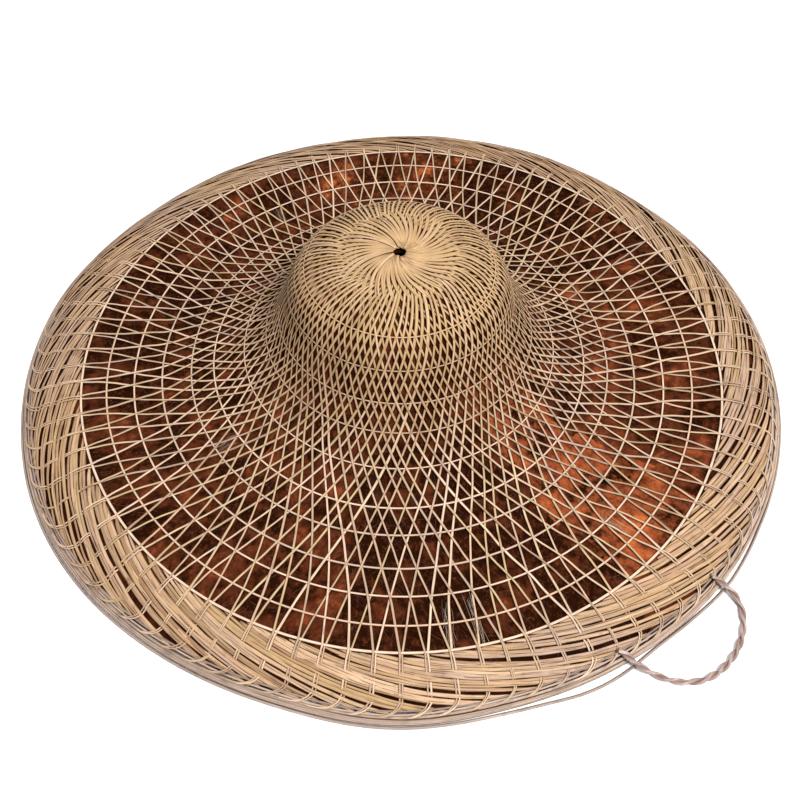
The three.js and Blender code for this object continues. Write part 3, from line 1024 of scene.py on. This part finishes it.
class RAINHAT_OT_rim(bpy.types.Operator):
    """Weave the flat splints of the rim over and under the stakes"""

    bl_idname = "rain_hat.rim"
    bl_label = "Rim weave"

    def execute(self, context):
        rim, colours = settings().rim, settings().colours
        rng = np.random.default_rng(41)
        count = rim.splints
        share = np.linspace(0, 1, RIM_STEPS)[None]
        spread = RIM_SPREAD * rng.uniform(0.95, 1.06, (count, 1))
        start = (np.arange(count)[:, None] + rng.uniform(-0.6, 0.6, (count, 1))) * TURN / count
        azimuth = start + share * spread
        ends = rng.uniform(-1.0, 1.6, (count, 1)) * (1 - share) + rng.uniform(-2.2, 2.2, (count, 1)) * share
        distance = RIM_START + share * (RIM_END - RIM_START) + ends + wander(rng, count, share, 0.6, 0.6)
        side = side_at(distance, STAKE_ROWS, STAKE_SWAP)
        level = rng.uniform(-0.32, 0.36, (count, 1))
        lift = NET_MIDDLE + RIM_MIDDLE - RIM_SWING * side + level + wander(rng, count, share, 0.1, 0.2)
        lift -= RIM_DIP * (1 - smoothstep(share, 0, 0.08))
        points, up = on_profile(distance, azimuth, lift)
        width = rim.width / MM * rng.uniform(0.68, 1.25, (count, 1))
        width = width * (1.06 - 0.22 * smoothstep(share, 0.3, 0.8))
        width = width * (1 - 0.26 * smoothstep(-np.cos(np.radians(start + spread / 2)), -0.7, 0.3))
        taper = 0.45 + 0.55 * smoothstep(np.minimum(share, 1 - share), 0, 0.06)
        weave = strips("rim_splints", points, up, width * taper, RIM_THICKNESS, SPLINT_SECTION,
                       strand_tints(rng, count))
        finish = bamboo_finish("rim_bamboo", paint(182, 142, 104), paint(212, 176, 142), paint(184, 156, 106),
                               colours.grey, paint(80, 42, 22))
        finish_piece(weave, "split_bamboo", finish, "rim_band")
        return {"FINISHED"}


# The edge: radius and height of each rod's middle, and its thickness
EDGE_RODS = (
    (341.3, 11.7, 2.5), (343.6, 10.3, 2.3), (345.6, 8.5, 2.6), (347.3, 6.6, 2.3), (348.4, 4.7, 2.6),
    (348.9, 3.0, 2.5), (349.0, 1.4, 2.7), (344.6, 6.2, 3.0), (344.4, 3.4, 3.0),
)
ROD_PIECES = 3
ROD_STEPS = 84
ROD_REACH = 146.0
LOOSE_DIAMETER = 2.3
LOOSE_HEIGHT = 1.3
LOOSE_OUT = 1.05
LOOSE_PRESS = 0.5


class RAINHAT_OT_edge(bpy.types.Operator):
    """Bundle the grey rods of the edge and the loose hoop outside them"""

    bl_idname = "rain_hat.edge"
    bl_label = "Edge"

    def execute(self, context):
        colours = settings().colours
        # The crest sits on the rods' upper outer face, so the painted side shade darkens the faces turned in
        # and down.
        finish = bamboo_finish("grey_bamboo", paint(168, 144, 128), paint(200, 178, 162), colours.bamboo,
                               paint(130, 114, 108), paint(78, 56, 46), 0.4, 0.6)
        rng = np.random.default_rng(51)
        rods = np.repeat(np.array(EDGE_RODS), ROD_PIECES, axis=0)
        count = len(rods)
        share = np.linspace(0, 1, ROD_STEPS)[None]
        # These draws place nothing, but the ones after them hang on their count
        rng.uniform(size=count)
        piece_start = np.tile(np.arange(ROD_PIECES) * TURN / ROD_PIECES, len(EDGE_RODS))
        rod_start = np.repeat(rng.uniform(0, TURN, len(EDGE_RODS)), ROD_PIECES)
        azimuth = (piece_start + rod_start)[:, None] + share * ROD_REACH
        ends = smoothstep(np.minimum(share, 1 - share), 0, 0.1)
        low = smoothstep(-rods[:, 1:2], -7, -3)
        sway = wander(rng, count, azimuth, 0.8, 60) * (1 - 0.75 * low)
        rise = wander(rng, count, azimuth, 0.8, 50) * (1 - 0.6 * low)
        size = rods[:, 2:] * rng.uniform(0.85, 1.12, (count, 1)) * (0.55 + 0.45 * ends)
        size = size * (1 + 0.05 * wander(rng, count, azimuth, 1, 20))
        level = np.maximum(rods[:, 1:2] + rise - 0.4 * (1 - ends), size / 2 + 0.05)
        radius = np.minimum(rods[:, :1] + sway - 0.6 * (1 - ends), RIM_RADIUS - size / 2)
        bundle = strips("edge_rods", at(radius, azimuth, level), outwards(azimuth), size, size * 0.85,
                        ROD_SECTION, strand_tints(rng, count))
        finish_piece(bundle, "grey_bamboo", finish, "edge_hoop")
        self.loose_rod(finish)
        return {"FINISHED"}

    def loose_rod(self, finish):
        """The thin rod round the outside, which stands off the edge here and there."""
        azimuth = np.arange(0, TURN, 1.5)
        outward = outwards(azimuth)
        gap = np.maximum(round_table(STAND_OFF[:, 1], azimuth, STAND_OFF[:, 0]) - LOOSE_PRESS, 0)
        path = at(RIM_RADIUS + LOOSE_OUT, azimuth, LOOSE_HEIGHT) + outward * gap[:, None] * MM
        tint = np.array(((0.9, 0, 0.8, 1),))
        loose = strips("loose_rod", path[None], outward[None], LOOSE_DIAMETER, LOOSE_DIAMETER, ROD_SECTION,
                       tint, closed=True)
        finish_piece(loose, "grey_bamboo", finish, "loose_edge_hoop")


# Loose fibres of the bark

HAIRS = 2600
HAIR_STEPS = 5
HAIRS_OUTER = 320

# The pale tufts of fibre: azimuth, distance, how many fibres, their length and their spread in degrees
TUFTS = np.array((
    (8.5, 340, 12, 34, 1.6), (13.2, 335, 16, 44, 1.4), (45, 318, 10, 26, 1.5), (306, 250, 9, 24, 2.5),
    (214, 300, 8, 22, 2.0),
))


class RAINHAT_OT_fibres(bpy.types.Operator):
    """Scatter the loose fibres that lift from the bark under the net"""

    bl_idname = "rain_hat.fibres"
    bl_label = "Loose fibres"

    def execute(self, context):
        colours = settings().colours
        rng = np.random.default_rng(61)
        radius = np.sqrt(rng.uniform(CROWN_FOOT ** 2, HAIRS_OUTER ** 2, (HAIRS, 1)))
        middle = distance_of(radius)
        centre = rng.uniform(0, TURN, (HAIRS, 1))
        share = np.linspace(-0.5, 0.5, HAIR_STEPS)[None]
        length = rng.uniform(6, 24, (HAIRS, 1))
        heading = (rng.choice((-1, 1), (HAIRS, 1)) + rng.normal(0, 0.45, (HAIRS, 1))
                   + rng.normal(0, 0.6, (HAIRS, 1)) * share)
        distance = middle + length * share * np.sin(heading)
        azimuth = centre + np.degrees(length * share * np.cos(heading) / radius)
        lift = 0.05 + rng.uniform(0, 0.55, (HAIRS, 1)) * (0.5 + share)
        points, up = on_profile(distance, azimuth, lift)
        size = rng.uniform(0.16, 0.34, (HAIRS, 1))
        tint = strand_tints(rng, HAIRS)
        tint[:, 1] = 0
        points, up, size, tint = map(np.vstack, zip((points, up, size, tint), self.tufts(rng)))
        hairs = strips("bark_hairs", points, up, size, size, HAIR_SECTION, tint)
        finish = hair_finish("bark_hair", paint(34, 15, 9), paint(112, 62, 40), paint(206, 188, 168))
        finish_piece(hairs, "palm_bark", finish)
        return {"FINISHED"}

    def tufts(self, rng):
        """The pale tufts: fibres that run in and out, each a little off the others."""
        count = int(TUFTS[:, 2].sum())
        home = np.repeat(TUFTS, TUFTS[:, 2].astype(int), axis=0)
        share = np.linspace(-0.5, 0.5, HAIR_STEPS)[None]
        length = rng.uniform(0.5, 1.0, (count, 1)) * home[:, 3:4]
        middle = home[:, 1:2] + rng.uniform(-0.3, 0.3, (count, 1)) * home[:, 3:4]
        distance = middle + length * share
        sideways = rng.normal(0, 0.33, (count, 1)) * home[:, 4:5]
        drift = rng.normal(0, 0.5, (count, 1)) * share + rng.normal(0, 0.6, (count, 1)) * (share ** 2 - 0.1)
        azimuth = home[:, :1] + sideways + drift
        lift = 0.3 + rng.uniform(0, 1.2, (count, 1)) * (1 - 2 * np.abs(share))
        points, up = on_profile(distance, azimuth, lift)
        tint = strand_tints(rng, count)
        tint[:, 1] = 0.2 + 0.55 * tint[:, 0]
        return points, up, rng.uniform(0.25, 0.5, (count, 1)), tint


class RAINHAT_PT_panel(bpy.types.Panel):
    """The hat's parts and settings"""

    bl_idname = "RAINHAT_PT_panel"
    bl_label = "Woven rain hat"
    bl_space_type = "VIEW_3D"
    bl_region_type = "UI"
    bl_category = "Rain hat"

    def draw(self, context):
        hat = context.scene.rain_hat
        for group in (hat.net, hat.rim, hat.cord, hat.colours, hat.stage):
            box = self.layout.box()
            for name in group.__annotations__:
                box.prop(group, name)
        for operator in OPERATORS:
            self.layout.operator(operator.bl_idname)


GROUPS = (NetSettings, RimSettings, CordSettings, ColourSettings, StageSettings, HatSettings)
OPERATORS = (
    RAINHAT_OT_stage,
    RAINHAT_OT_cord,
    RAINHAT_OT_bark,
    RAINHAT_OT_net,
    RAINHAT_OT_hoops,
    RAINHAT_OT_rim,
    RAINHAT_OT_edge,
    RAINHAT_OT_fibres,
)
CLASSES = (*GROUPS, *OPERATORS, RAINHAT_PT_panel)


def register():
    for made in CLASSES:
        bpy.utils.register_class(made)
    bpy.types.Scene.rain_hat = bpy.props.PointerProperty(type=HatSettings)


def unregister():
    del bpy.types.Scene.rain_hat
    for made in reversed(CLASSES):
        bpy.utils.unregister_class(made)


def main():
    register()
    bpy.ops.rain_hat.stage()
    bpy.ops.rain_hat.cord()
    bpy.ops.rain_hat.bark()
    bpy.ops.rain_hat.net()
    bpy.ops.rain_hat.hoops()
    bpy.ops.rain_hat.rim()
    bpy.ops.rain_hat.edge()
    bpy.ops.rain_hat.fibres()
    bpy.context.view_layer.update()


if __name__ == "__main__":
    main()
